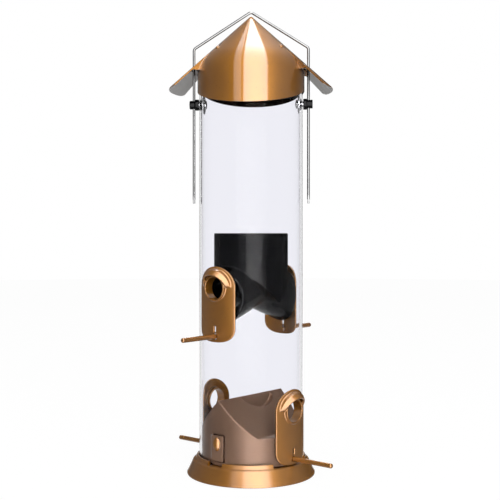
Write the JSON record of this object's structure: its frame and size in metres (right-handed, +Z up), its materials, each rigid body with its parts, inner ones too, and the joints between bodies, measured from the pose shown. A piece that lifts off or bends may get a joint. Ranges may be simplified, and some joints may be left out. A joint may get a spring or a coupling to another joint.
{
  "type": "tube bird feeder",
  "caption": "Hanging tube bird feeder with hooded ports and perches, a clear seed tube, a sliding winged roof on a wire handle and a quick-release base.",
  "frame": {"origin": "centre of the base flange's underside, on the surface the feeder stands on", "axes": "+Z up along the tube; +X towards the right wing of the roof and the right leg of the wire handle; -Y is the front"},
  "size_m": [0.1204, 0.1192, 0.34],
  "materials": {
    "antique_gold": "satin gold-bronze metallic paint",
    "copper_ramp": "satin copper-brown metallic paint",
    "clear_plastic": "clear polished plastic",
    "black_plastic": "glossy black moulded plastic",
    "steel_wire": "drawn stainless wire",
    "zinc": "zinc-plated steel"
  },
  "bodies": {
    "base": {"base_flange": "antique_gold", "base_insert": "copper_ramp", "base_screw_1": "zinc", "base_screw_2": "zinc", "base_screw_3": "zinc"},
    "latch_front_tab": {"latch_front": "antique_gold"},
    "latch_back_tab": {"latch_back": "antique_gold"},
    "tube_body": {"clear_tube": "clear_plastic", "upper_diverter": "black_plastic", "port_upper_front": "antique_gold", "port_upper_back": "antique_gold", "port_lower_right": "antique_gold", "port_lower_left": "antique_gold", "perch_upper_front": "antique_gold", "perch_upper_back": "antique_gold", "perch_lower_right": "antique_gold", "perch_lower_left": "antique_gold", "stud_left": "black_plastic", "washer_left": "zinc", "stud_screw_left": "zinc", "stud_right": "black_plastic", "washer_right": "zinc", "stud_screw_right": "zinc"},
    "roof": {"roof_shell": "antique_gold", "roof_rivet_left": "antique_gold", "roof_rivet_right": "antique_gold"},
    "handle": {"wire_handle": "steel_wire"}
  },
  "joints": [
    {"name": "tube_lift", "type": "slide", "parent": "base", "child": "tube_body", "axis": [0, 0, 1], "range_m": [0, 0.05]},
    {"name": "latch_front_press", "type": "hinge", "parent": "base", "child": "latch_front_tab", "pos_m": [-0.02104, -0.02896, 0.0152], "axis": [-0.809, 0.5878, 0], "range_deg": [0, 8], "stiffness_Nm_per_rad": 0.4},
    {"name": "latch_back_press", "type": "hinge", "parent": "base", "child": "latch_back_tab", "pos_m": [0.02104, 0.02896, 0.0152], "axis": [0.809, -0.5878, 0], "range_deg": [0, 8], "stiffness_Nm_per_rad": 0.4},
    {"name": "roof_lift", "type": "slide", "parent": "tube_body", "child": "roof", "axis": [0, 0, 1], "range_m": [0, 0.04]},
    {"name": "handle_rise", "type": "slide", "parent": "roof", "child": "handle", "axis": [0, 0, 1], "range_m": [0, 0.02]}
  ]
}
